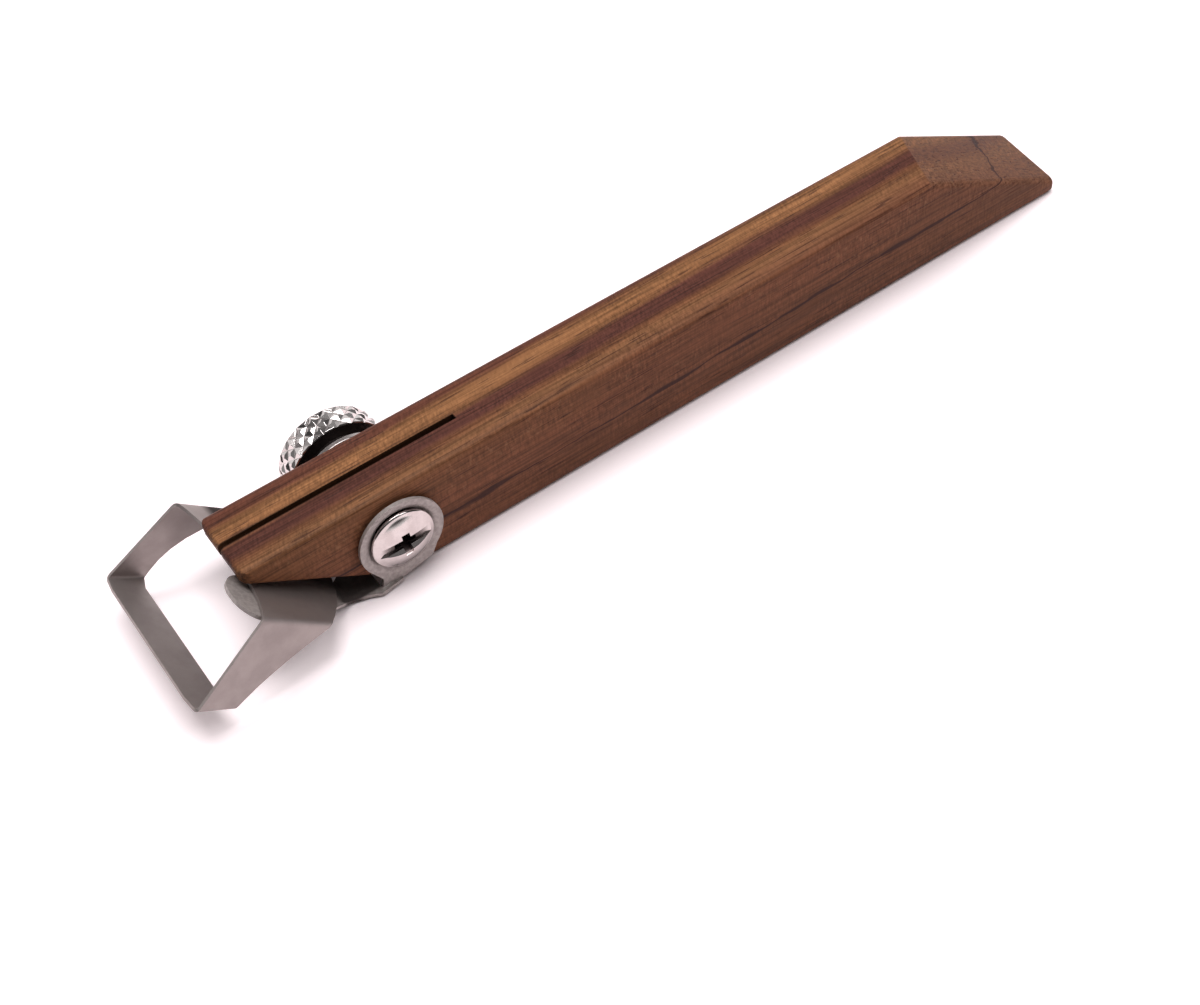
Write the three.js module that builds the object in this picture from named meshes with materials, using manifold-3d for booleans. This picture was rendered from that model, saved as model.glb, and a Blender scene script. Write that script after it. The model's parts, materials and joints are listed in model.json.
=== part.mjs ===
// Handheld clay extruder: a steel ribbon loop held in the split nose of a hardwood handle.
// A cross screw and a knurled thumb nut pinch the nose on the loop's tang, and the screw also
// carries the arm that backs the loop. Loop and arm tilt together about the screw.
// Millimetres. X runs from the nose to the back tip, Y across the handle from the screw's
// head (-) to the thumb nut (+), and Z up from the face that the tool lies on.
import * as THREE from 'three';
import { mergeVertices } from 'three/addons/utils/BufferGeometryUtils.js';
import Module from 'manifold-3d';

const wasm = await Module();
wasm.setup();

// Handle: a bar with both ends cut at a slant and its edges rounded. The back cut is also
// turned a little, so that its far side ends higher.
const handleLength = 146.2;
const handleWidth = 12.7;
const handleHeight = 15.9;
const noseAngle = THREE.MathUtils.degToRad(34.2);
const noseFlat = 2.0;
const backAngle = THREE.MathUtils.degToRad(26);
const backTurn = THREE.MathUtils.degToRad(11);
const tipFlat = 3.3;
const edgeRoundAcross = 1.2;
const edgeRound = 0.75;
const cornerRound = 0.8;
const noseRound = 1.9;

// Saw kerf that splits the nose.
const kerfLength = 36.3;
const kerfFrontWidth = 0.75;
const kerfBackWidth = 1.0;

// Cross screw: its oval head has a slot right across and a cross recess.
const screwFromNose = 21.85;
const screwAboveRest = 8.0;
const screwDiameter = 4.8;
const screwHeadDiameter = 10.1;
const screwHeadRim = 0.35;
const screwDome = 1.4;
const screwStandOut = 0.6;
const screwEndChamfer = 0.5;
const slotWidth = 1.9;
const recessSpan = 4.8;
const recessWidth = 1.2;
const recessDepth = 2.4;

// Washer and thumb nut.
const washerDiameter = 14.6;
const washerThickness = 0.9;
const nutDiameter = 15.8;
const nutRimLength = 4.25;
const nutBossDiameter = 11.4;
const nutBossLength = 1.6;
const nutFaceDiameter = 13.6;
const knurlCount = 22;
const knurlRows = 2;
const knurlDepth = 0.55;

// Ribbon loop, measured in the head's own frame: back along the seat plane, across, and down.
const seatAngle = THREE.MathUtils.degToRad(43.8);
const ribbonThickness = 0.45;
const baseFront = 1.9;
const baseFrontCurve = 3;
const baseBack = 17.4;
const baseBackCurve = 1.8;
const shoulderHalf = 12.75;
const shoulderFront = -0.5;
const shoulderBack = 10.7;
const shoulderBend = 1.0;
const footHalf = 14.0;
const footFront = -4.1;
const footBack = 1.4;
const footDepth = 14.0;
const footRise = 0.35;
const stripHalf = 11.2;
const stripFront = -4.5;
const stripBack = 0.4;
const footBend = 0.7;
const nearSideTaper = 1.3;
const farSideTaper = 2.4;
const nearEndGap = 1.0;

// Tang: the ribbon's far end, turned up into the kerf, with an eye round the screw.
const tangFront = 5.0;
const tangBack = 15.0;
const tangBend = 0.6;
const tangEyeDiameter = 11.0;

// Arm: an eye under the screw's head, a neck, a tail under the nose and a finger that
// carries the loop's base.
const armThickness = 0.55;
const eyeDiameter = 12.9;
const eyeMouthDiameter = 11.3;
const eyeStandOff = 0.6;
const dishWall = 0.45;
const dishDepth = 2.3;
const fingerMiddle = -7.2;
const fingerHalf = 4.5;
const fingerTip = -2.1;
const fingerShoulder = 1.2;
const fingerParallel = 7.0;
const tailAboveRest = 0.35;
const tailBendReach = 1.2;
const tailBendRims = [
  [-2.7, -7.2], [-2.6, -7.0], [-2.4, -6.9], [-2.1, -6.8], [-1.8, -6.8], [-1.5, -6.85], [-1.2, -6.95],
];
const tailWaist = [15.2, -7.45];
const tailCorner = [16.7, -8.25];
const tailHeel = [17.1, -3.2];
const neckEnd = [20.3, -7.75];
const neckFrontEdge = [[16.3, 4.8], [17.7, 2.3]];
const neckBackEdge = [[27.3, 4.9], [25.5, 1.8]];
const neckFootFront = 17.3;
const neckFootBack = 20.4;
const neckFrontBend = 0.8;
const neckBackBend = 0.4;

// Clearances between neighbouring pieces.
const faceGap = 0.15;
const coneGap = 0.15;
const sinkGap = 0.25;
const boreGap = 0.25;
const backingGap = 0.12;

// How far a cutter runs past the face that it opens, and a weld into its neighbour.
const cutPast = 1.0;
const weldOverlap = 0.05;

const halfWidth = handleWidth / 2;
const boreRadius = screwDiameter / 2 + boreGap;
const headRadius = screwHeadDiameter / 2;
const eyeInside = -halfWidth - eyeStandOff;
const eyeOutside = eyeInside - armThickness;
const washerInside = halfWidth + faceGap;
const washerOutside = washerInside + washerThickness;
const nutInside = washerOutside + faceGap;
const nutRimInside = nutInside + nutBossLength;
const nutOutside = nutRimInside + nutRimLength;
const heelFromNose = (handleHeight - noseFlat) / Math.tan(noseAngle);
const backTopFromNose = handleLength - (handleHeight - tipFlat) / Math.tan(backAngle);
const roundSteps = 48;

// The head's frame starts where the seat plane meets the nose: X back along the seat,
// Z square to it, up into the handle.
const fromHead = new THREE.Matrix4()
  .makeRotationY(seatAngle)
  .setPosition(0, 0, handleHeight - noseFlat);
const screwInHead = new THREE.Vector3(screwFromNose, 0, screwAboveRest)
  .applyMatrix4(fromHead.clone().invert());

// Stands an outline up so that it is drawn in X and Z.
const upright = new THREE.Matrix4().makeBasis(
  new THREE.Vector3(1, 0, 0), new THREE.Vector3(0, 0, 1), new THREE.Vector3(0, -1, 0));

function toSolid(geometry) {
  const bare = geometry.clone();
  bare.deleteAttribute('normal');
  bare.deleteAttribute('uv');
  const merged = mergeVertices(bare, 1e-5);
  return new wasm.Manifold(new wasm.Mesh({
    numProp: 3,
    vertProperties: new Float32Array(merged.attributes.position.array),
    triVerts: new Uint32Array(merged.index.array),
  }));
}

function toGeometry(solid) {
  const mesh = solid.getMesh();
  const geometry = new THREE.BufferGeometry();
  geometry.setAttribute('position', new THREE.BufferAttribute(mesh.vertProperties.slice(), 3));
  geometry.setIndex(new THREE.BufferAttribute(mesh.triVerts.slice(), 1));
  geometry.computeVertexNormals();
  return geometry;
}

// An outline through corners [x, y, radius], given counter-clockwise, each rounded by an arc.
function roundedOutline(corners) {
  const shape = new THREE.Shape();
  const count = corners.length;
  corners.forEach(([x, y, radius], i) => {
    const here = new THREE.Vector2(x, y);
    const [xb, yb] = corners[(i + count - 1) % count];
    const [xa, ya] = corners[(i + 1) % count];
    const before = new THREE.Vector2(xb, yb).sub(here).normalize();
    const after = new THREE.Vector2(xa, ya).sub(here).normalize();
    const half = Math.acos(before.dot(after)) / 2;
    const inward = before.clone().add(after).normalize();
    const centre = here.clone().addScaledVector(inward, radius / Math.sin(half));
    const start = here.clone().addScaledVector(before, radius / Math.tan(half));
    const end = here.clone().addScaledVector(after, radius / Math.tan(half));
    shape.absarc(centre.x, centre.y, radius,
      Math.atan2(start.y - centre.y, start.x - centre.x),
      Math.atan2(end.y - centre.y, end.x - centre.x), false);
  });
  shape.closePath();
  return shape;
}

// Extrudes an upright outline across the tool, from y = low to y = high.
function across(shape, low, high, curveSegments = 12) {
  const geometry = new THREE.ExtrudeGeometry(shape, {
    depth: high - low, bevelEnabled: false, curveSegments,
  });
  return geometry.translate(0, 0, -high).applyMatrix4(upright);
}

// Turns a profile of [radius, y] points round the screw's axis.
function turned(profile) {
  const points = profile.map(([radius, y]) => new THREE.Vector2(radius, y));
  return new THREE.LatheGeometry(points, roundSteps).translate(screwFromNose, 0, screwAboveRest);
}

// A rim through corners [x, y, z, radius]; a corner with a radius is bent to it.
function bentRim(corners) {
  const bendSteps = 5;
  const points = [];
  corners.forEach(([x, y, z, radius], i) => {
    const here = new THREE.Vector3(x, y, z);
    if (radius === 0) {
      points.push(here);
      return;
    }
    const before = new THREE.Vector3(...corners[i - 1]).sub(here).normalize();
    const after = new THREE.Vector3(...corners[i + 1]).sub(here).normalize();
    const reach = radius / Math.tan(before.angleTo(after) / 2);
    const bend = new THREE.QuadraticBezierCurve3(
      here.clone().addScaledVector(before, reach),
      here,
      here.clone().addScaledVector(after, reach),
    );
    points.push(...bend.getPoints(bendSteps));
  });
  return points;
}

// Sheet metal between two rims that have as many points as each other.
function sheet(rimA, rimB, thickness) {
  const last = rimA.length - 1;
  const position = [];
  const index = [];
  rimA.forEach((a, i) => {
    const b = rimB[i];
    const from = rimA[Math.max(i - 1, 0)].clone().add(rimB[Math.max(i - 1, 0)]);
    const to = rimA[Math.min(i + 1, last)].clone().add(rimB[Math.min(i + 1, last)]);
    const lift = to.sub(from).cross(b.clone().sub(a)).setLength(thickness / 2);
    position.push(...a.clone().add(lift), ...b.clone().add(lift));
    position.push(...b.clone().sub(lift), ...a.clone().sub(lift));
    if (i === last) return;
    for (let side = 0; side < 4; side += 1) {
      const p = 4 * i + side;
      const q = 4 * i + (side + 1) % 4;
      index.push(p, p + 4, q, q, p + 4, q + 4);
    }
  });
  const end = 4 * last;
  index.push(0, 1, 2, 0, 2, 3, end, end + 2, end + 1, end, end + 3, end + 2);
  const geometry = new THREE.BufferGeometry();
  geometry.setAttribute('position', new THREE.Float32BufferAttribute(position, 3));
  geometry.setIndex(index);
  return geometry;
}

function makeHandle() {
  const outline = roundedOutline([
    [0, handleHeight, cornerRound],
    [0, handleHeight - noseFlat, cornerRound],
    [heelFromNose, 0, cornerRound],
    [handleLength, 0, cornerRound],
    [handleLength, tipFlat, cornerRound],
    [backTopFromNose, handleHeight, cornerRound],
  ]);
  const bar = new THREE.ExtrudeGeometry(outline, {
    depth: handleWidth - 2 * edgeRoundAcross,
    bevelThickness: edgeRoundAcross,
    bevelSize: edgeRound,
    bevelOffset: -edgeRound,
    bevelSegments: 4,
    curveSegments: 4,
  });
  bar.translate(0, 0, edgeRoundAcross - halfWidth).applyMatrix4(upright);
  const rise = Math.tan(backTurn);
  const corners = bar.attributes.position;
  for (let i = 0; i < corners.count; i += 1) {
    const [x, y, z] = [corners.getX(i), corners.getY(i), corners.getZ(i)];
    const isBack = x > handleLength / 2;
    if (isBack && z > handleHeight / 2) corners.setX(i, x + y * rise / Math.tan(backAngle));
    else if (isBack && z > tipFlat / 2) corners.setZ(i, z + y * rise);
  }
  const kerf = new THREE.ExtrudeGeometry(new THREE.Shape([
    new THREE.Vector2(-cutPast, -kerfFrontWidth / 2),
    new THREE.Vector2(kerfLength, -kerfBackWidth / 2),
    new THREE.Vector2(kerfLength, kerfBackWidth / 2),
    new THREE.Vector2(-cutPast, kerfFrontWidth / 2),
  ]), { depth: handleHeight + 2 * cutPast, bevelEnabled: false });
  kerf.translate(0, 0, -cutPast);
  const sinkRadius = headRadius + eyeOutside + halfWidth + coneGap
    + dishWall * Math.SQRT2 + sinkGap;
  const bore = turned([
    [0, -halfWidth - cutPast],
    [sinkRadius + cutPast, -halfWidth - cutPast],
    [boreRadius, -halfWidth + sinkRadius - boreRadius],
    [boreRadius, halfWidth + cutPast],
    [0, halfWidth + cutPast],
  ]);
  const plan = new THREE.ExtrudeGeometry(roundedOutline([
    [0, halfWidth, noseRound],
    [0, -halfWidth, noseRound],
    [handleLength, -halfWidth, cornerRound],
    [handleLength, halfWidth, cornerRound],
  ]), { depth: handleHeight + 2 * cutPast, bevelEnabled: false, curveSegments: 6 });
  plan.translate(0, 0, -cutPast);
  return toGeometry(toSolid(bar).intersect(toSolid(plan))
    .subtract(toSolid(kerf))
    .subtract(toSolid(bore)));
}

function makeScrew() {
  const shank = screwDiameter / 2;
  const rim = eyeOutside - screwHeadRim;
  const apex = rim - screwDome;
  const end = nutOutside + screwStandOut;
  const domeSteps = 6;
  const dome = [];
  for (let i = 0; i <= domeSteps; i += 1) {
    const share = i / domeSteps;
    dome.push([headRadius * share, apex + screwDome * share ** 2]);
  }
  const body = toSolid(turned([
    ...dome,
    [headRadius, eyeOutside],
    [shank, eyeOutside + headRadius - shank],
    [shank, end - screwEndChamfer],
    [shank - screwEndChamfer, end],
    [0, end],
  ]));
  const wing = new THREE.ExtrudeGeometry(new THREE.Shape([
    new THREE.Vector2(-recessSpan / 2, apex - cutPast),
    new THREE.Vector2(recessSpan / 2, apex - cutPast),
    new THREE.Vector2(recessSpan / 4, apex + recessDepth),
    new THREE.Vector2(-recessSpan / 4, apex + recessDepth),
  ]), { depth: recessWidth, bevelEnabled: false }).translate(0, 0, -recessWidth / 2);
  const slot = new THREE.BoxGeometry(2 * screwHeadDiameter, 2 * screwDome, slotWidth)
    .translate(0, apex, 0);
  const cutters = [slot, wing, wing.clone().rotateY(Math.PI / 2)].map((cutter) => toSolid(
    cutter.translate(screwFromNose, 0, screwAboveRest)));
  return toGeometry(cutters.reduce((head, cutter) => head.subtract(cutter), body));
}

function makeWasher() {
  return turned([
    [boreRadius, washerInside],
    [washerDiameter / 2, washerInside],
    [washerDiameter / 2, washerOutside],
    [boreRadius, washerOutside],
    [boreRadius, washerInside],
  ]);
}

// The knurl is a grid of low pyramids: every other crossing of the grid is cut down.
function makeThumbNut() {
  const rim = nutDiameter / 2;
  const columns = 2 * knurlCount;
  const rows = 2 * knurlRows;
  const profile = [
    [boreRadius, nutInside],
    [nutBossDiameter / 2, nutInside],
    [nutBossDiameter / 2, nutRimInside],
    [nutFaceDiameter / 2, nutRimInside],
  ];
  const firstRow = profile.length;
  for (let row = 0; row <= rows; row += 1) {
    const share = row / rows;
    profile.push([rim, THREE.MathUtils.lerp(nutRimInside, nutOutside, share)]);
  }
  profile.push([nutFaceDiameter / 2, nutOutside], [boreRadius, nutOutside]);
  const count = profile.length;
  const position = [];
  const index = [];
  for (let column = 0; column < columns; column += 1) {
    const angle = 2 * Math.PI * column / columns;
    const nextColumn = (column + 1) % columns;
    profile.forEach(([radius, y], j) => {
      const row = j - firstRow;
      const isValley = row >= 0 && row <= rows && (row + column) % 2 === 1;
      const reach = isValley ? radius - knurlDepth : radius;
      position.push(reach * Math.sin(angle), y, reach * Math.cos(angle));
      const a = column * count + j;
      const b = column * count + (j + 1) % count;
      const c = nextColumn * count + j;
      const d = nextColumn * count + (j + 1) % count;
      if ((j + column) % 2 === 0) index.push(a, c, b, b, c, d);
      else index.push(a, c, d, a, d, b);
    });
  }
  const geometry = new THREE.BufferGeometry();
  geometry.setAttribute('position', new THREE.Float32BufferAttribute(position, 3));
  geometry.setIndex(index);
  geometry.computeVertexNormals();
  return geometry.translate(screwFromNose, 0, screwAboveRest);
}

function makeLoop() {
  const level = -faceGap - ribbonThickness / 2;
  const front = [];
  const back = [];
  const station = (w, wBack, s, h, radius = 0, hBack = h) => {
    front.push([w, s, h, radius]);
    back.push([wBack, s, hBack, radius]);
  };
  const base = (s) => {
    const share = Math.abs(s) / shoulderHalf;
    station(baseFront + (shoulderFront - baseFront) * share ** baseFrontCurve,
      baseBack + (shoulderBack - baseBack) * share ** baseBackCurve, s, level);
  };
  const side = (sign, share) => station(
    THREE.MathUtils.lerp(shoulderFront, footFront, share),
    footBack + (shoulderBack - footBack) * (1 - share) ** (sign < 0 ? nearSideTaper : farSideTaper),
    sign * THREE.MathUtils.lerp(shoulderHalf, footHalf, share),
    level - share * footDepth,
  );
  const shoulder = (sign) => station(
    shoulderFront, shoulderBack, sign * shoulderHalf, level, shoulderBend);
  const bottom = (w) => -footDepth - footRise
    + 2 * footRise * (w - footFront) / (footBack - footFront);
  const foot = (sign) => station(
    footFront, footBack, sign * footHalf, bottom(footFront), footBend, bottom(footBack));
  const strip = (sign) => station(
    stripFront, stripBack, sign * stripHalf, bottom(stripFront), 0, bottom(stripBack));
  const baseStations = [2.5, 5.5, 8.5, 11.0];
  const sideStations = [0.12, 0.25, 0.4, 0.55, 0.7, 0.85];
  base(-nearEndGap);
  baseStations.forEach((s) => base(-s));
  shoulder(-1);
  sideStations.forEach((share) => side(-1, share));
  foot(-1);
  strip(-1);
  strip(1);
  foot(1);
  sideStations.toReversed().forEach((share) => side(1, share));
  shoulder(1);
  baseStations.toReversed().forEach((s) => base(s));
  const tangFoot = level + 2 * tangBend;
  station(tangFront, tangBack, 2 * tangBend, level);
  station(tangFront, tangBack, 0, level, tangBend);
  station(tangFront, tangBack, 0, tangFoot);
  const ribbon = toSolid(sheet(bentRim(front), bentRim(back), ribbonThickness));

  const eye = tangEyeDiameter / 2;
  const tangentAngle = (w, turn) => {
    const dx = w - screwInHead.x;
    const dz = tangFoot - screwInHead.z;
    return Math.atan2(dz, dx) + turn * Math.acos(eye / Math.hypot(dx, dz));
  };
  const outline = new THREE.Shape();
  outline.moveTo(tangFront, tangFoot - tangBend / 2);
  outline.lineTo(tangBack, tangFoot - tangBend / 2);
  outline.lineTo(tangBack, tangFoot);
  outline.absarc(screwInHead.x, screwInHead.z, eye,
    tangentAngle(tangBack, 1), tangentAngle(tangFront, -1) + 2 * Math.PI, false);
  outline.lineTo(tangFront, tangFoot);
  outline.closePath();
  const hole = new THREE.Path();
  hole.absarc(screwInHead.x, screwInHead.z, boreRadius, 0, 2 * Math.PI, true);
  outline.holes.push(hole);
  const tang = toSolid(across(outline, -ribbonThickness / 2, ribbonThickness / 2));
  return toGeometry(ribbon.add(tang)).applyMatrix4(fromHead);
}

function makeArm() {
  const middle = -faceGap - ribbonThickness - backingGap - armThickness / 2;
  const onSeat = (w) => new THREE.Vector3(w, 0, middle).applyMatrix4(fromHead);
  const tail = tailAboveRest + armThickness / 2;
  // The finger's middle plane comes down to the tail's level at the fold.
  const foldInHead = (handleHeight - noseFlat + middle * Math.cos(seatAngle) - tail)
    / Math.sin(seatAngle);
  const fold = onSeat(foldInHead);
  const inner = [];
  const outer = [];
  const station = (point, from, to) => {
    inner.push(point.clone().setY(from));
    outer.push(point.clone().setY(to));
  };
  const tipSteps = 7;
  for (let i = 1; i <= tipSteps; i += 1) {
    const angle = Math.PI / 2 * i / tipSteps;
    const half = fingerHalf * Math.sin(angle);
    const w = fingerShoulder - (fingerShoulder - fingerTip) * Math.cos(angle);
    station(onSeat(w), fingerMiddle + half, fingerMiddle - half);
  }
  station(onSeat(fingerParallel), fingerMiddle + fingerHalf, fingerMiddle - fingerHalf);
  const bend = new THREE.QuadraticBezierCurve3(
    onSeat(foldInHead - tailBendReach), fold, fold.clone().setX(fold.x + tailBendReach));
  bend.getPoints(tailBendRims.length - 1).forEach((point, i) => {
    station(point, ...tailBendRims[i]);
  });
  const finger = toSolid(sheet(inner, outer, armThickness));

  const tailFront = fold.x + tailBendReach - weldOverlap;
  const [tailInside, tailOutside] = tailBendRims.at(-1);
  const tailPlate = new THREE.ExtrudeGeometry(new THREE.Shape([
    new THREE.Vector2(tailFront, tailOutside),
    new THREE.Vector2(...tailWaist),
    new THREE.Vector2(...tailCorner),
    new THREE.Vector2(...neckEnd),
    new THREE.Vector2(neckEnd[0], eyeInside),
    new THREE.Vector2(tailHeel[0], eyeInside),
    new THREE.Vector2(...tailHeel),
    new THREE.Vector2(tailFront, tailInside),
  ]), { depth: armThickness, bevelEnabled: false });
  tailPlate.translate(0, 0, tailAboveRest);

  const eyeMiddle = (eyeInside + eyeOutside) / 2;
  const neckRim = (edge, foot, footBend, end) => bentRim([
    ...edge.map(([x, z]) => [x, eyeMiddle, z, 0]),
    [foot, eyeMiddle, tail, footBend],
    [end[0], end[1] - weldOverlap, tail, 0],
  ]);
  const neckFront = neckRim(neckFrontEdge, neckFootFront, neckFrontBend, tailCorner);
  const neckBack = neckRim(neckBackEdge, neckFootBack, neckBackBend, neckEnd);
  const mouth = eyeMouthDiameter / 2;
  const insideEye = (mouth + eyeDiameter / 2) / 2;
  const clearOfMouth = toSolid(turned([
    [0, eyeOutside - armThickness],
    [insideEye, eyeOutside - armThickness],
    [insideEye, eyeInside + armThickness],
    [0, eyeInside + armThickness],
  ]));
  const neck = toSolid(sheet(neckFront, neckBack, armThickness)).subtract(clearOfMouth);

  const coneRadius = (y) => headRadius + eyeOutside - y + coneGap;
  const lip = eyeOutside + (coneRadius(eyeOutside) + armThickness / 2 - mouth);
  const dishEnd = eyeOutside + dishDepth;
  const wall = dishWall * Math.SQRT2;
  const eye = toSolid(turned([
    [mouth, eyeOutside],
    [coneRadius(eyeOutside + armThickness / 2), eyeOutside + armThickness / 2],
    [coneRadius(dishEnd), dishEnd],
    [coneRadius(dishEnd) + wall, dishEnd],
    [coneRadius(eyeInside) + wall, eyeInside],
    [eyeDiameter / 2, eyeInside],
    [eyeDiameter / 2, eyeOutside],
    [mouth, eyeOutside],
  ].reverse()));
  return toGeometry(finger.add(toSolid(tailPlate)).add(neck).add(eye));
}

function piece(name, geometry, color, roughness, metalness) {
  const mesh = new THREE.Mesh(
    geometry, new THREE.MeshStandardMaterial({ color, roughness, metalness }));
  mesh.name = name;
  return mesh;
}

const tool = new THREE.Group();
tool.position.x = -(heelFromNose + handleLength) / 2;
tool.add(
  piece('handle', makeHandle(), 0x7a5036, 0.6, 0.0),
  piece('loop_blade', makeLoop(), 0xb8b0ac, 0.35, 1.0),
  piece('arm', makeArm(), 0xa39a96, 0.42, 1.0),
  piece('clamp_screw', makeScrew(), 0xcfcac6, 0.2, 1.0),
  piece('nut_washer', makeWasher(), 0xb8b0ac, 0.3, 1.0),
  piece('thumb_nut', makeThumbNut(), 0xc4bdb8, 0.28, 1.0),
);

export default tool;
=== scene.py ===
import json
from math import cos, hypot, radians, sin

import bmesh
import bpy
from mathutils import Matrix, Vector

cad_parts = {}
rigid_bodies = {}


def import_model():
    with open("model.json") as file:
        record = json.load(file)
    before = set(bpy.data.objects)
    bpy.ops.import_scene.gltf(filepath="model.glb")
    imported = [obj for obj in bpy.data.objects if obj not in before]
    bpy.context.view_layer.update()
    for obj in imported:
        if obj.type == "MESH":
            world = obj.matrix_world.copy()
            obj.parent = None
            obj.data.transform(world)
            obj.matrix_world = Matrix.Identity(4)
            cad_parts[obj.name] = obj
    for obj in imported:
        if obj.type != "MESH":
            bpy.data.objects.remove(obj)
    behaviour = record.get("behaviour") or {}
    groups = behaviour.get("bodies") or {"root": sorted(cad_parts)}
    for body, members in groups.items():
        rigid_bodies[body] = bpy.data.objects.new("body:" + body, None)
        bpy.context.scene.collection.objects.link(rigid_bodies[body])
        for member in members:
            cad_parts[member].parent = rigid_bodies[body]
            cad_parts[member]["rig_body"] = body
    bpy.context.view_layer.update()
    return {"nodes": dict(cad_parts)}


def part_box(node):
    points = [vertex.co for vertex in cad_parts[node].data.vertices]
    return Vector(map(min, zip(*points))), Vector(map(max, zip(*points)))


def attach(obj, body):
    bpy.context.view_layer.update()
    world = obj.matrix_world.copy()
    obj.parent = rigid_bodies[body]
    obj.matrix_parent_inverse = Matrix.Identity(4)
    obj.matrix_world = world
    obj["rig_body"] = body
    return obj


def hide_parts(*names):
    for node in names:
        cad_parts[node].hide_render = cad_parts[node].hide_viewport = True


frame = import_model()


# The handle: one bar of dark striped hardwood with a curly figure, sawn, sanded round
# at its edges and oiled. Gold and purple-brown layers run along it, and one thin resin
# line crosses its sides. A saw kerf in the nose takes the blade's tang.

def put(tree, kind, inputs=None, **settings):
    """Adds one shader node, sets its settings, and fills or links its inputs."""
    made = tree.nodes.new(kind)
    for name, value in settings.items():
        setattr(made, name, value)
    for name, value in (inputs or {}).items():
        if isinstance(value, bpy.types.NodeSocket):
            tree.links.new(value, made.inputs[name])
        else:
            made.inputs[name].default_value = value
    return made


def maths(tree, operation, first, second=0.0, clamp=False):
    """Works out one sum of two values."""
    made = put(tree, "ShaderNodeMath", {0: first, 1: second}, operation=operation, use_clamp=clamp)
    return made.outputs[0]


def between(tree, value, low, high, to_low=0.0, to_high=1.0):
    """Maps a value smoothly from one range to another, held at both ends."""
    return put(tree, "ShaderNodeMapRange", {
        "Value": value, "From Min": low, "From Max": high, "To Min": to_low, "To Max": to_high,
    }, interpolation_type="SMOOTHSTEP").outputs["Result"]


def tint(tree, amount, under, over, blend="MIX"):
    """Lays one colour over another by an amount."""
    made = put(tree, "ShaderNodeMix", data_type="RGBA", blend_type=blend)
    for socket, value in ((made.inputs[0], amount), (made.inputs[6], under), (made.inputs[7], over)):
        if isinstance(value, bpy.types.NodeSocket):
            tree.links.new(value, socket)
        elif isinstance(value, tuple):
            socket.default_value = (*value, 1.0)
        else:
            socket.default_value = value
    return made.outputs[2]


def brightened(tree, colour, gain):
    """Brightens or darkens a colour."""
    grey = put(tree, "ShaderNodeCombineColor", {0: gain, 1: gain, 2: gain}).outputs[0]
    return tint(tree, 1.0, colour, grey, "MULTIPLY")


def cloud(tree, place, detail=2.0, roughness=0.5, stretch=(1.0, 1.0, 1.0), offset=(0.0, 0.0, 0.0)):
    """Noise about 0.5. The stretch gives its turns per millimetre along, across and up."""
    stretched = put(tree, "ShaderNodeMapping", {"Vector": place, "Scale": stretch, "Location": offset})
    return put(tree, "ShaderNodeTexNoise", {
        "Vector": stretched.outputs[0], "Scale": 1.0, "Detail": detail, "Roughness": roughness,
    }).outputs["Fac"]


to_mm = 1000.0


def millimetres(tree, centre=(0.0, 0.0, 0.0)):
    """The piece's own coordinates in millimetres, from a centre that is given in them."""
    return put(tree, "ShaderNodeMapping", {
        "Vector": put(tree, "ShaderNodeTexCoord").outputs["Object"],
        "Location": tuple(-value for value in centre),
        "Scale": (to_mm, to_mm, to_mm),
    }).outputs[0]


def new_material(name):
    """Starts a material with no nodes."""
    made = bpy.data.materials.new(name)
    made.use_nodes = True
    made.node_tree.nodes.clear()
    return made, made.node_tree


def finished(node, name, edge):
    """A copy of a solid: its triangles joined, its bends smooth and its sharp edges eased."""
    fold = radians(32.0)
    solid = frame["nodes"][node]
    mesh = solid.data.copy()
    mesh.attributes.remove(mesh.attributes["custom_normal"])
    shape = bmesh.new()
    shape.from_mesh(mesh)
    bmesh.ops.remove_doubles(shape, verts=shape.verts, dist=1e-6)
    bmesh.ops.dissolve_limit(shape, angle_limit=radians(0.6), verts=shape.verts, edges=shape.edges)
    for face in shape.faces:
        face.smooth = True
    for line in shape.edges:
        line.smooth = line.calc_face_angle(0.0) < fold
    shape.to_mesh(mesh)
    shape.free()
    piece = bpy.data.objects.new(name, mesh)
    bpy.context.scene.collection.objects.link(piece)
    if edge:
        eased = piece.modifiers.new("eased_edges", "BEVEL")
        eased.limit_method = "ANGLE"
        eased.angle_limit = fold
        eased.width = edge
        eased.segments = 2
        eased.harden_normals = True
    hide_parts(node)
    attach(piece, solid["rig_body"])
    return piece


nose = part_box("handle")[0].x * to_mm

wood, tree = new_material("handle_wood")
place = millimetres(tree, centre=(nose, 0.0, 0.0))
along, across, up = put(tree, "ShaderNodeSeparateXYZ", {0: place}).outputs

# Layers lie about a heart that is off the far upper edge. A layer's number says how many
# millimetres nearer the heart it is than the zero layer. That one drifts nearer the heart
# towards the back, and all the layers waver a little.
heart = (0.0, 20.0, 18.0)
zero_radius = 19.95
zero_along = 19.0
drift = -0.024
waver = 1.5
first_layer = -12.0
layer_range = 20.0
layer_colours = [
    (-12.0, (0.175, 0.071, 0.038)),
    (-8.5, (0.200, 0.078, 0.042)),
    (-5.0, (0.240, 0.105, 0.047)),
    (-3.7, (0.185, 0.071, 0.033)),
    (-2.5, (0.100, 0.034, 0.025)),
    (-0.7, (0.115, 0.039, 0.027)),
    (0.5, (0.250, 0.105, 0.045)),
    (2.0, (0.325, 0.143, 0.060)),
    (3.0, (0.250, 0.107, 0.045)),
    (3.9, (0.135, 0.046, 0.028)),
    (7.0, (0.138, 0.046, 0.029)),
]
sway = cloud(tree, place, detail=3.0, stretch=(0.035, 0.16, 0.16))
ripple = cloud(tree, place, detail=3.0, stretch=(0.06, 0.9, 0.9), offset=(7.0, 3.0, 1.0))
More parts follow.
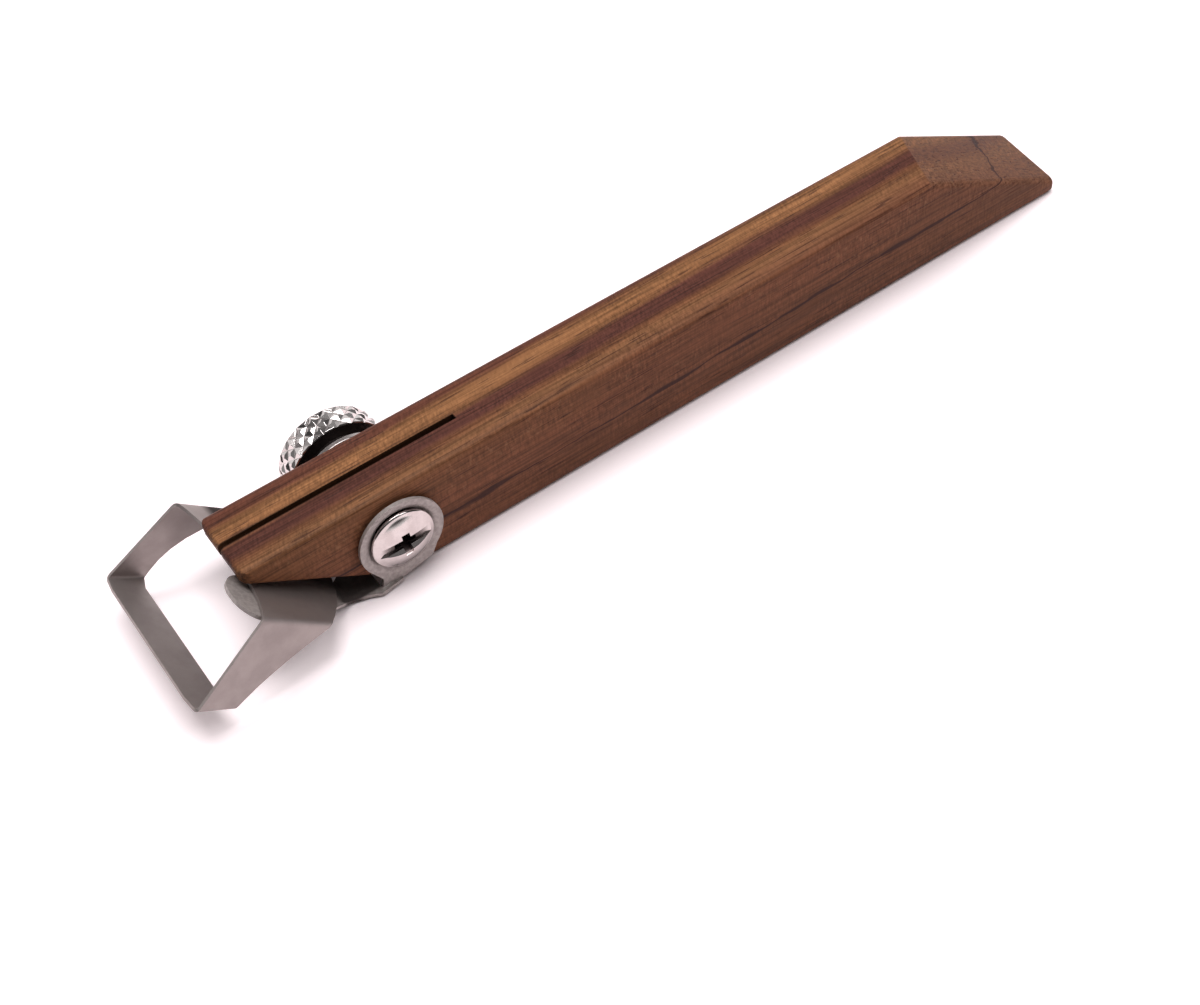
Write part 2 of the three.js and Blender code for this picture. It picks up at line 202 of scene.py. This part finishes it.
from_heart = put(tree, "ShaderNodeVectorMath", {0: place, 1: heart}, operation="SUBTRACT").outputs[0]
flattened = put(tree, "ShaderNodeVectorMath", {0: from_heart, 1: (0.0, 1.0, 1.0)}, operation="MULTIPLY")
reach = put(tree, "ShaderNodeVectorMath", {0: flattened.outputs[0]}, operation="LENGTH").outputs["Value"]
layer = maths(tree, "SUBTRACT", zero_radius, reach)
layer = maths(tree, "ADD", layer, maths(tree, "MULTIPLY", maths(tree, "SUBTRACT", along, zero_along), drift))
for wave in (sway, ripple):
    layer = maths(tree, "ADD", layer, maths(tree, "MULTIPLY", maths(tree, "SUBTRACT", wave, 0.5), waver))
share = maths(tree, "DIVIDE", maths(tree, "SUBTRACT", layer, first_layer), layer_range, clamp=True)
layers = put(tree, "ShaderNodeValToRGB", {0: share})
ramp = layers.color_ramp.elements
ramp.remove(ramp[1])
ramp[0].color = (*layer_colours[0][1], 1.0)
for distance, shade in layer_colours[1:]:
    ramp.new((distance - first_layer) / layer_range).color = (*shade, 1.0)
colour = layers.outputs[0]

# The slanting cut at the back crosses the layers, which blend to a middle brown there.
cut_brown = (0.185, 0.079, 0.044)
facing_along = put(tree, "ShaderNodeSeparateXYZ", {
    0: put(tree, "ShaderNodeTexCoord").outputs["Normal"],
}).outputs[0]
slant = between(tree, facing_along, 0.2, 0.4)
colour = tint(tree, maths(tree, "MULTIPLY", slant, 0.65), colour, cut_brown)

# Fine fibres along the grain, then long open pores.
pore_brown = (0.045, 0.016, 0.012)
fibre = cloud(tree, place, detail=3.0, roughness=0.7, stretch=(0.045, 2.6, 2.6))
colour = brightened(tree, colour, between(tree, fibre, 0.28, 0.66, 0.56, 1.2))
pore = cloud(tree, place, detail=1.0, stretch=(0.15, 2.7, 2.7), offset=(3.0, 1.0, 8.0))
pore_zone = cloud(tree, place, detail=1.0, stretch=(0.06, 0.5, 0.5), offset=(1.0, 9.0, 2.0))
pores = maths(tree, "MULTIPLY", between(tree, pore, 0.61, 0.68), between(tree, pore_zone, 0.36, 0.52))
colour = tint(tree, maths(tree, "MULTIPLY", pores, 0.65), colour, pore_brown)

# Curly figure: a fine ripple nearly square to the grain, stronger in patches.
curl_lean = radians(24.0)
leaning = put(tree, "ShaderNodeMapping", {"Vector": place, "Rotation": (0.0, 0.0, curl_lean)}).outputs[0]
shimmer = cloud(tree, leaning, detail=2.0, roughness=0.6, stretch=(3.0, 0.95, 0.8), offset=(5.0, 0.0, 2.0))
patch = cloud(tree, place, detail=1.0, stretch=(0.07, 0.16, 0.2), offset=(2.0, 6.0, 3.0))
strength = between(tree, patch, 0.3, 0.65, 0.55, 1.4)
figure = maths(tree, "MULTIPLY", maths(tree, "SUBTRACT", shimmer, 0.5), strength)
colour = brightened(tree, colour, maths(tree, "ADD", figure, 1.0))

# Light flecks, on the sides above the resin line and on the back cut.
fleck_tan = (0.36, 0.18, 0.095)
fleck = cloud(tree, place, detail=3.0, roughness=0.7, stretch=(1.5, 1.0, 0.9), offset=(8.0, 4.0, 4.0))
outward = between(tree, maths(tree, "ABSOLUTE", across), 5.4, 6.0)
on_side = maths(tree, "MULTIPLY", outward, between(tree, up, 6.0, 12.0))
fleck_zone = maths(tree, "MULTIPLY", maths(tree, "MAXIMUM", on_side, slant), between(tree, patch, 0.36, 0.56))
flecks = maths(tree, "MULTIPLY", between(tree, fleck, 0.56, 0.7), fleck_zone)
colour = tint(tree, maths(tree, "MULTIPLY", flecks, 0.4), colour, fleck_tan)

# The resin line, a thin sheet that lies nearly flat, lowest a third of the way back from
# the nose. It swells and thins on its way.
resin_black = (0.035, 0.015, 0.015)
resin_low = 5.75
resin_turn = 48.0
resin_climb = 0.0225
resin_tilt = 0.0055
resin_wander = 1.6
past_turn = maths(tree, "SUBTRACT", along, resin_turn)
rise = maths(tree, "ADD",
             maths(tree, "MULTIPLY", maths(tree, "ABSOLUTE", past_turn), resin_climb),
             maths(tree, "MULTIPLY", past_turn, resin_tilt))
level = maths(tree, "ADD", resin_low, rise)
wander = cloud(tree, place, detail=3.0, roughness=0.6, stretch=(0.09, 0.42, 0.42), offset=(1.0, 2.0, 3.0))
level = maths(tree, "ADD", level, maths(tree, "MULTIPLY", maths(tree, "SUBTRACT", wander, 0.5), resin_wander))
thick = cloud(tree, place, detail=1.0, stretch=(0.07, 0.3, 0.3), offset=(4.0, 4.0, 4.0))
half_width = between(tree, thick, 0.38, 0.75, 0.1, 0.5)
off_line = maths(tree, "DIVIDE", maths(tree, "ABSOLUTE", maths(tree, "SUBTRACT", up, level)), half_width)
colour = tint(tree, between(tree, off_line, 0.55, 1.5, 0.85, 0.0), colour, resin_black)

# End grain soaks up more oil, and the kerf's narrow walls are painted dark as shade.
kerf_half = 0.52
kerf_end = 36.4
kerf_shade_brown = (0.025, 0.011, 0.007)
end_grain = between(tree, maths(tree, "ABSOLUTE", facing_along), 0.3, 0.85)
dots = cloud(tree, place, detail=1.0, stretch=(0.4, 3.2, 3.2), offset=(2.0, 2.0, 5.0))
soaked = brightened(tree, colour, between(tree, dots, 0.35, 0.7, 0.8, 0.45))
colour = tint(tree, end_grain, colour, soaked)
# Painted shade: the kerf's walls are darkened as the narrow cut's shadow.
in_kerf = maths(tree, "MULTIPLY",
                maths(tree, "LESS_THAN", maths(tree, "ABSOLUTE", across), kerf_half),
                maths(tree, "LESS_THAN", along, kerf_end))
colour = tint(tree, maths(tree, "MULTIPLY", in_kerf, 0.75), colour, kerf_shade_brown)

relief = maths(tree, "SUBTRACT", maths(tree, "MULTIPLY", fibre, 0.5), pores)
relief = maths(tree, "ADD", relief, maths(tree, "MULTIPLY", figure, 0.35))
surface = put(tree, "ShaderNodeBump", {"Strength": 0.35, "Distance": 0.0001, "Height": relief})
shader = put(tree, "ShaderNodeBsdfPrincipled", {
    "Base Color": colour,
    "Roughness": between(tree, fibre, 0.3, 0.7, 0.42, 0.54),
    "Specular IOR Level": 0.08,
    "Normal": surface.outputs[0],
})
put(tree, "ShaderNodeOutputMaterial", {"Surface": shader.outputs[0]})
handle = finished("handle", "handle_bar", edge=0.0)
handle.data.materials[0] = wood


# The loop: one strip of spring steel, bent into a trapezoid, with its two ends folded up
# to the tang in the kerf. It is rolled and left satin, with faint handling marks. Where it
# goes in under the wood, shade is painted on it, darker further in.

def metal_marks():
    """Mottling, a fine rolled texture and scratches, shared by every metal here."""
    group = bpy.data.node_groups.new("metal_marks", "ShaderNodeTree")
    group.interface.new_socket("Place", in_out="INPUT", socket_type="NodeSocketVector")
    for name in ("Mottle fineness", "Scratches"):
        group.interface.new_socket(name, in_out="INPUT", socket_type="NodeSocketFloat")
    for name in ("Mottle", "Fine", "Height"):
        group.interface.new_socket(name, in_out="OUTPUT", socket_type="NodeSocketFloat")
    given = group.nodes.new("NodeGroupInput")
    mottle = put(group, "ShaderNodeTexNoise", {
        "Vector": given.outputs["Place"], "Scale": given.outputs["Mottle fineness"],
        "Detail": 3.0, "Roughness": 0.6,
    }).outputs["Fac"]
    fine = put(group, "ShaderNodeTexNoise", {
        "Vector": given.outputs["Place"], "Scale": 6.0, "Detail": 2.0, "Roughness": 0.7,
    }).outputs["Fac"]
    lines = cloud(group, given.outputs["Place"], detail=2.0, roughness=0.7, stretch=(0.25, 9.0, 9.0))
    scratch = maths(group, "MULTIPLY", between(group, lines, 0.62, 0.72), given.outputs["Scratches"])
    height = maths(group, "SUBTRACT", maths(group, "MULTIPLY", fine, 0.4), scratch)
    result = group.nodes.new("NodeGroupOutput")
    group.links.new(mottle, result.inputs["Mottle"])
    group.links.new(fine, result.inputs["Fine"])
    group.links.new(height, result.inputs["Height"])
    return group


marks = metal_marks()
# Dark brown painted as shade in hollows and under the wood.
painted_shade_brown = (0.035, 0.024, 0.022)


def steel(name, dark, light, smooth, rough, mottling, scratches, relief, metallic=1.0, painted_shade=None):
    """A metal whose tone and gloss follow its mottling, with painted shade where a mask is given."""
    made, tree = new_material(name)
    finish = put(tree, "ShaderNodeGroup", node_tree=marks)
    tree.links.new(millimetres(tree), finish.inputs["Place"])
    finish.inputs["Mottle fineness"].default_value = mottling
    finish.inputs["Scratches"].default_value = scratches
    blotch = between(tree, finish.outputs["Mottle"], 0.3, 0.7)
    speck = between(tree, finish.outputs["Fine"], 0.25, 0.75, -0.12, 0.12)
    colour = tint(tree, maths(tree, "ADD", blotch, speck, clamp=True), dark, light)
    gloss = between(tree, finish.outputs["Mottle"], 0.3, 0.7, rough, smooth)
    if painted_shade:
        # Painted shade: the mask darkens the colour, and roughens it a little.
        shade_amount = painted_shade(tree)
        colour = tint(tree, shade_amount, colour, painted_shade_brown)
        gloss = maths(tree, "ADD", gloss, maths(tree, "MULTIPLY", shade_amount, 0.3))
    surface = put(tree, "ShaderNodeBump", {
        "Strength": relief, "Distance": 0.00004, "Height": finish.outputs["Height"],
    })
    shader = put(tree, "ShaderNodeBsdfPrincipled", {
        "Base Color": colour, "Roughness": gloss, "Metallic": metallic, "Normal": surface.outputs[0],
    })
    put(tree, "ShaderNodeOutputMaterial", {"Surface": shader.outputs[0]})
    return made


def under_wood(tree):
    """Painted shade on the strip's end, darker the further it goes in under the nose."""
    along, across = put(tree, "ShaderNodeSeparateXYZ", {0: millimetres(tree)}).outputs[:2]
    lean = 0.6
    inward = maths(tree, "ADD", across, maths(tree, "MULTIPLY", maths(tree, "SUBTRACT", along, nose), lean))
    behind_edge = between(tree, along, nose + 2.0, nose + 3.5)
    darkening = between(tree, inward, -0.5, 3.4, 0.0, 0.95)
    return maths(tree, "MULTIPLY", behind_edge, darkening)


ribbon_steel = steel(
    "ribbon_steel", dark=(0.312, 0.266, 0.256), light=(0.361, 0.312, 0.30), smooth=0.40, rough=0.48,
    mottling=0.22, scratches=0.3, relief=0.5, metallic=0.75, painted_shade=under_wood)
loop = finished("loop_blade", "loop_ribbon", edge=0.00008)
loop.data.materials[0] = ribbon_steel


# The arm: a flat steel stamping with a rounded finger at the front and a dished eye round
# the screw, bent once at the neck. It is tumbled, so its faces are satin and softly
# mottled. Shade is painted low on the neck, where the wood shelters it.

def in_neck(tree):
    """Painted shade low on the neck, on the side towards the wood."""
    along, across, up = put(tree, "ShaderNodeSeparateXYZ", {0: millimetres(tree)}).outputs
    behind_finger = between(tree, along, nose + 8.0, nose + 10.0)
    inward = between(tree, across, -7.4, -6.9)
    low_down = between(tree, up, 1.8, 2.8, 0.92, 0.0)
    return maths(tree, "MULTIPLY", maths(tree, "MULTIPLY", behind_finger, inward), low_down)


arm_steel = steel(
    "arm_steel", dark=(0.33, 0.283, 0.27), light=(0.45, 0.397, 0.38), smooth=0.40, rough=0.55,
    mottling=1.6, scratches=0.4, relief=0.9, metallic=0.35, painted_shade=in_neck)
arm = finished("arm", "arm_plate", edge=0.0002)
arm.data.materials[0] = arm_steel


# The clamp screw: an oval-head machine screw that goes right across the nose. Its low dome
# has a slot with flared lips and a deep cross recess, both struck cold, and it is plated
# and polished. Shade is painted into the recess, darker deeper down.

screw_low, screw_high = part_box("clamp_screw")
screw_x = (screw_low.x + screw_high.x) / 2
screw_z = (screw_low.z + screw_high.z) / 2
head_radius = (screw_high.x - screw_low.x) / 2
rim_setback = 0.00025
rim_round = 0.00035
rim_front = -0.00795
dome_edge = head_radius - rim_setback - rim_round
dome_power = 2.2
dome_rings = 14
apex = screw_low.y
dome_height = rim_front - apex
shank_radius = 0.0024
shank_chamfer = 0.0005
screw_end = screw_high.y
slot_half = 0.0008
slot_floor = rim_front - 0.0002
flare_half = 0.00135
flare_depth = 0.00066
wing_width = 0.0012
wing_span = 0.0048
wing_narrowing = 0.45
wing_floor = apex + 0.0026
above_dome = 0.001
turning_steps = 96


def in_recess(tree):
    """Painted shade in the slot and the cross, darker deeper below the dome."""
    wall_margin = 0.01
    floor_margin = 0.2
    place = millimetres(tree, centre=(screw_x * to_mm, apex * to_mm, screw_z * to_mm))
    across, deep, up = put(tree, "ShaderNodeSeparateXYZ", {0: place}).outputs
    radius = maths(tree, "SQRT", maths(tree, "ADD",
                   maths(tree, "MULTIPLY", across, across), maths(tree, "MULTIPLY", up, up)))
    share = maths(tree, "POWER", maths(tree, "DIVIDE", radius, dome_edge * to_mm), dome_power)
    depth = maths(tree, "SUBTRACT", deep, maths(tree, "MULTIPLY", share, dome_height * to_mm))
    in_slot = maths(tree, "LESS_THAN", maths(tree, "ABSOLUTE", up), slot_half * to_mm + wall_margin)
    in_wings = maths(tree, "LESS_THAN", maths(tree, "ABSOLUTE", across), wing_width / 2 * to_mm + wall_margin)
    in_dome = maths(tree, "LESS_THAN", radius, dome_edge * to_mm)
    above_floor = maths(tree, "LESS_THAN", deep, (wing_floor - apex) * to_mm + floor_margin)
    inside = maths(tree, "MULTIPLY", maths(tree, "MAXIMUM", in_slot, in_wings), in_dome)
    inside = maths(tree, "MULTIPLY", inside, above_floor)
    return maths(tree, "MULTIPLY", between(tree, depth, 0.1, 0.9, 0.0, 0.9), inside)


def loose(name, shape):
    """Turns a finished bmesh into an object."""
    mesh = bpy.data.meshes.new(name)
    shape.to_mesh(mesh)
    shape.free()
    made = bpy.data.objects.new(name, mesh)
    bpy.context.scene.collection.objects.link(made)
    return made


def turned(profile, steps, closed):
    """Turns (radius, y) points about the screw's axis, solid to it or closed to a ring."""
    shape = bmesh.new()
    corners = [shape.verts.new((screw_x + radius, y, screw_z)) for radius, y in profile]
    ahead = corners[1:] + corners[:1] if closed else corners[1:]
    lines = [shape.edges.new(pair) for pair in zip(corners, ahead)]
    bmesh.ops.spin(shape, geom=corners + lines, cent=(screw_x, 0.0, screw_z), axis=(0.0, 1.0, 0.0),
                   angle=radians(360.0), steps=steps, use_merge=True)
    if not closed:
        bmesh.ops.remove_doubles(shape, verts=shape.verts, dist=1e-7)
    bmesh.ops.recalc_face_normals(shape, faces=shape.faces)
    return shape


def slot_cutter():
    """A bar along X with flared sides, to cut a slot whose lips are eased."""
    shape = bmesh.new()
    right = [(slot_half, slot_floor), (slot_half, apex + flare_depth), (flare_half, apex),
             (flare_half, apex - above_dome)]
    section = [(-z, y) for z, y in reversed(right)] + right
    start = shape.faces.new([shape.verts.new((screw_x - head_radius, y, screw_z + z)) for z, y in section])
    grown = bmesh.ops.extrude_face_region(shape, geom=[start])["geom"]
    bmesh.ops.translate(shape, vec=(2 * head_radius, 0.0, 0.0),
                        verts=[item for item in grown if isinstance(item, bmesh.types.BMVert)])
    bmesh.ops.recalc_face_normals(shape, faces=shape.faces)
    return loose("slot_cutter", shape)


def wing(span_x, span_z, narrow_x, narrow_z):
    """A block that narrows inwards, to cut one pair of wings of the cross."""
    deep = wing_floor - apex + above_dome
    shape = bmesh.new()
    bmesh.ops.create_cube(shape, size=1.0)
    bmesh.ops.scale(shape, vec=(span_x, deep, span_z), verts=shape.verts)
    inner = [corner for corner in shape.verts if corner.co.y > 0.0]
    bmesh.ops.scale(shape, vec=(narrow_x, 1.0, narrow_z), verts=inner)
    bmesh.ops.translate(shape, vec=(screw_x, wing_floor - deep / 2, screw_z), verts=shape.verts)
    return loose("wing", shape)


def carved(piece, cutters):
    """Cuts the cutters out of a piece for good."""
    for tool in cutters:
        cut = piece.modifiers.new("cut", "BOOLEAN")
        cut.operation = "DIFFERENCE"
        cut.solver = "EXACT"
        cut.object = tool
    shown = piece.evaluated_get(bpy.context.evaluated_depsgraph_get())
    mesh = bpy.data.meshes.new_from_object(shown)
    piece.modifiers.clear()
    piece.data = mesh
    for tool in cutters:
        bpy.data.objects.remove(tool)


screw_profile = [(dome_edge * ring / dome_rings, apex + dome_height * (ring / dome_rings) ** dome_power)
                 for ring in range(dome_rings + 1)]
for turn in (30.0, 45.0, 60.0, 75.0, 90.0, 110.0):
    screw_profile.append((dome_edge + rim_round * sin(radians(turn)),
                          rim_front + rim_round * (1.0 - cos(radians(turn)))))
rim_back_radius, rim_back = screw_profile[-1]
screw_profile += [
    (shank_radius, rim_back + rim_back_radius - shank_radius),
    (shank_radius, screw_end - shank_chamfer),
    (shank_radius - shank_chamfer, screw_end),
    (0.0, screw_end),
]
screw = loose("cross_screw", turned(screw_profile, turning_steps, closed=False))
carved(screw, [
    slot_cutter(),
    wing(wing_width, wing_span, 1.0, wing_narrowing),
    wing(wing_span, wing_width, wing_narrowing, 1.0),
])
screw.data.shade_smooth()
screw.data.set_sharp_from_angle(angle=radians(24.0))
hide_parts("clamp_screw")
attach(screw, "grip")
screw_steel = steel(
    "screw_steel", dark=(0.52, 0.46, 0.45), light=(0.62, 0.56, 0.55), smooth=0.07, rough=0.14,
    mottling=0.5, scratches=0.3, relief=0.12, painted_shade=in_recess)
screw.data.materials.append(screw_steel)


# The washer: punched from sheet steel, tumbled until its edges are a little round, and
# plated. It keeps the nut from biting into the wood.

washer_steel = steel(
    "washer_steel", dark=(0.40, 0.35, 0.34), light=(0.52, 0.46, 0.45), smooth=0.22, rough=0.32,
    mottling=0.6, scratches=0.3, relief=0.25)
washer = finished("nut_washer", "plain_washer", edge=0.0002)
washer.data.materials[0] = washer_steel


# The thumb nut: turned from round bar with a smaller boss towards the washer. A diamond
# knurl is rolled into its rim, two diamonds wide, and it is plated. Shade is painted on
# the boss and on the face behind the rim.

nut_low, nut_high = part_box("thumb_nut")
nut_radius = (nut_high.x - nut_low.x) / 2
bore_radius = 0.0026
boss_radius = 0.0057
nut_face_radius = 0.0068
rim_inside = nut_low.y + 0.0016
knurl_count = 22
knurl_rows = 2
knurl_depth = 0.0003
knurl_slope = 0.00073
end_knurl_slope = 0.0004
end_knurl_depth = knurl_depth * 0.6
valley = nut_radius - knurl_depth
row_length = (nut_high.y - rim_inside) / knurl_rows
nut_profile = [
    (bore_radius, nut_low.y), (boss_radius, nut_low.y),
    (boss_radius, rim_inside), (nut_face_radius, rim_inside),
]
nut_profile += [(valley, rim_inside + row_length * row) for row in range(knurl_rows + 1)]
nut_profile += [(nut_face_radius, nut_high.y), (bore_radius, nut_high.y)]


def on_rim(shape, slack):
    """The faces whose corners all lie on the nut's rim, or within a slack of it."""
    return [face for face in shape.faces
            if all(hypot(v.co.x - screw_x, v.co.z - screw_z) > valley - slack for v in face.verts)]


def knurled_nut():
    """Turns the nut, then raises a low pyramid on each diamond of its rim."""
    shape = turned(nut_profile, knurl_count, closed=True)
    rim = on_rim(shape, slack=0.00001)
    inner = [line for line in shape.edges if sum(face in rim for face in line.link_faces) == 2]
    bmesh.ops.poke(shape, faces=rim)
    bmesh.ops.dissolve_edges(shape, edges=inner, use_verts=False)
    rim = on_rim(shape, slack=0.00015)
    whole = [face for face in rim if len(face.verts) == 4]
    halves = [face for face in rim if len(face.verts) == 3]
    for face in set(shape.faces) - set(rim):
        face.smooth = True
    for line in shape.edges:
        line.smooth = line.calc_face_angle(0.0) < radians(30.0)
    bmesh.ops.inset_individual(shape, faces=whole, thickness=knurl_slope, depth=knurl_depth)
    bmesh.ops.inset_individual(shape, faces=halves, thickness=end_knurl_slope, depth=end_knurl_depth)
    return loose("knurled_nut", shape)


def behind_rim(tree):
    """Painted shade on the boss and on the face behind the rim."""
    margin = 0.03
    near = put(tree, "ShaderNodeSeparateXYZ", {0: millimetres(tree)}).outputs[1]
    behind = maths(tree, "LESS_THAN", near, rim_inside * to_mm + margin)
    return maths(tree, "MULTIPLY", behind, 0.9)


nut = knurled_nut()
softened = nut.modifiers.new("softened_edges", "BEVEL")
softened.limit_method = "ANGLE"
softened.angle_limit = radians(34.0)
softened.width = 0.00002
softened.segments = 1
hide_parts("thumb_nut")
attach(nut, "nut")
nut_steel = steel(
    "nut_steel", dark=(0.60, 0.55, 0.54), light=(0.68, 0.63, 0.62), smooth=0.12, rough=0.18,
    mottling=0.5, scratches=0.2, relief=0.2, painted_shade=behind_rim)
nut.data.materials.append(nut_steel)


# The room: a plain white table under one large soft box, with a smaller one in front.
# The room is white low down and up the wall behind, so that the table seems to have no
# end. The rest is dark, so that the bright metals have something dark to mirror.

# The table glows where it is seen, directly or in a mirror, but lights nothing. The glow
# grows far off, where the soft boxes reach less, and fades in the tool's own shade.
table_tone = (0.95, 0.85, 0.87, 1.0)
glow_tone = (1.0, 0.90, 0.92, 1.0)
table_gap = 0.00005
table_white, tree = new_material("white_table")
shader = put(tree, "ShaderNodeBsdfDiffuse", {"Color": table_tone})
seen = put(tree, "ShaderNodeLightPath")
direct = maths(tree, "ADD",
               maths(tree, "ADD", seen.outputs["Is Camera Ray"], seen.outputs["Is Glossy Ray"]),
               seen.outputs["Is Transmission Ray"], clamp=True)
open_sky = put(tree, "ShaderNodeAmbientOcclusion", {"Distance": 0.012}, samples=8).outputs["AO"]
from_middle = put(tree, "ShaderNodeVectorMath", {
    0: put(tree, "ShaderNodeTexCoord").outputs["Object"],
}, operation="LENGTH").outputs["Value"]
far_glow = between(tree, from_middle, 0.25, 1.2, 0.48, 0.95)
shown_glow = maths(tree, "MULTIPLY", far_glow, between(tree, open_sky, 0.25, 0.95))
glow = put(tree, "ShaderNodeEmission", {
    "Color": glow_tone, "Strength": maths(tree, "MULTIPLY", direct, shown_glow),
})
both = put(tree, "ShaderNodeAddShader", {0: shader.outputs[0], 1: glow.outputs[0]})
put(tree, "ShaderNodeOutputMaterial", {"Surface": both.outputs[0]})
bpy.ops.mesh.primitive_plane_add(size=6.0, location=(0.0, 0.0, -table_gap))
table = bpy.context.object
table.name = "table"
table.data.materials.append(table_white)

room_dark = (0.05, 0.05, 0.05)
ceiling_grey = (0.3, 0.3, 0.3)
wall_white = (1.0, 1.0, 1.0)
surround = bpy.data.worlds.new("surround")
bpy.context.scene.world = surround
surround.use_nodes = True
tree = surround.node_tree
tree.nodes.clear()
direction = put(tree, "ShaderNodeTexCoord").outputs["Generated"]
backward, upward = put(tree, "ShaderNodeSeparateXYZ", {0: direction}).outputs[1:]
air_colour = tint(tree, between(tree, upward, 0.55, 0.95), room_dark, ceiling_grey)
wall = maths(tree, "MULTIPLY",
             between(tree, backward, 0.1, 0.6), between(tree, upward, 0.35, 0.75, 1.0, 0.0))
air_colour = tint(tree, wall, air_colour, wall_white)
air_colour = tint(tree, between(tree, upward, 0.0, 0.14, 1.0, 0.0), air_colour, wall_white)
air = put(tree, "ShaderNodeBackground", {"Color": air_colour, "Strength": 1.0})
put(tree, "ShaderNodeOutputWorld", {"Surface": air.outputs[0]})


def soft_box(name, power, size, place):
    """A square soft box that faces the middle of the table."""
    light = bpy.data.lights.new(name, "AREA")
    light.energy = power
    light.size = size
    made = bpy.data.objects.new(name, light)
    made.location = place
    made.rotation_euler = Vector(place).to_track_quat("Z", "Y").to_euler()
    bpy.context.scene.collection.objects.link(made)


soft_box("soft_box_above", power=7.8, size=0.6, place=(0.03, 0.12, 1.05))
soft_box("soft_box_front", power=2.0, size=0.4, place=(0.45, -0.45, 0.85))

camera_data = bpy.data.cameras.new("camera")
camera_data.lens = 48.697
camera_data.sensor_width = 36.0
camera_data.clip_start = 0.01
camera = bpy.data.objects.new("camera", camera_data)
camera.location = (-0.109208, -0.145759, 0.172114)
camera.rotation_euler = (radians(41.23), radians(5.195), radians(-35.56))
bpy.context.scene.collection.objects.link(camera)
bpy.context.scene.camera = camera
bpy.context.scene.view_settings.view_transform = "Standard"
